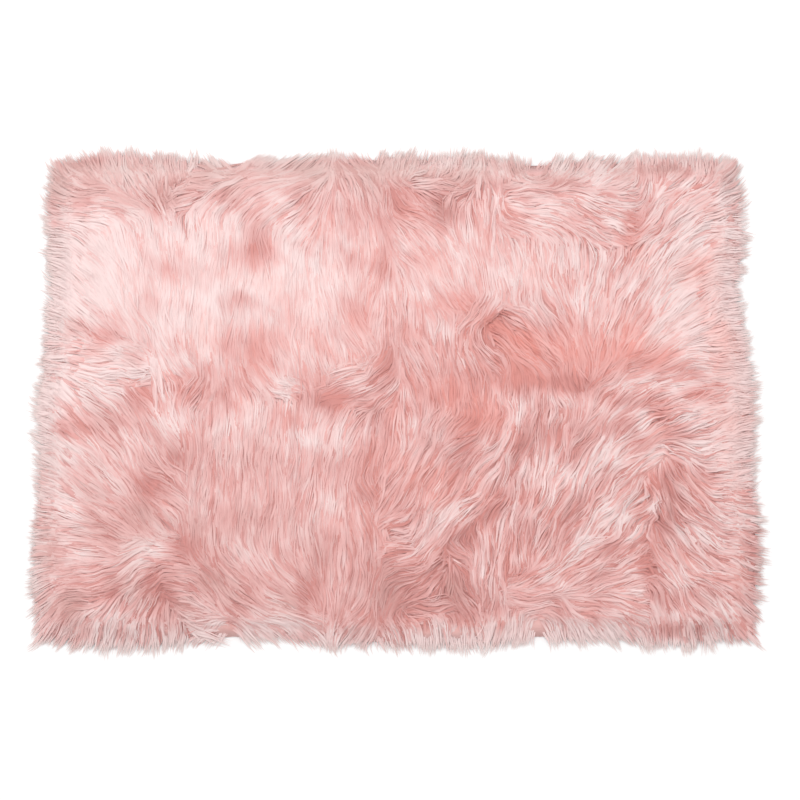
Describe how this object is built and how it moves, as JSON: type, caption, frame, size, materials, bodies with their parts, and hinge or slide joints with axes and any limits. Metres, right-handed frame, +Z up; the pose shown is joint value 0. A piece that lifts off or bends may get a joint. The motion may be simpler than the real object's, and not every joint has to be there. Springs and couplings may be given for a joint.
{
  "type": "shag rug",
  "caption": "Rectangular long-pile faux-fur rug that lies flat on a floor, with combed tufts, soft partings and loose locks around its rim.",
  "frame": {"origin": "on the floor, under the middle of the rug's box", "axes": "+X along the rug's length, +Y across its width, +Z up out of the floor"},
  "size_m": [0.9366, 0.6652, 0.0406],
  "materials": {
    "pile": "soft silky long pile"
  },
  "bodies": {
    "root": {"rug": "pile"}
  },
  "joints": []
}
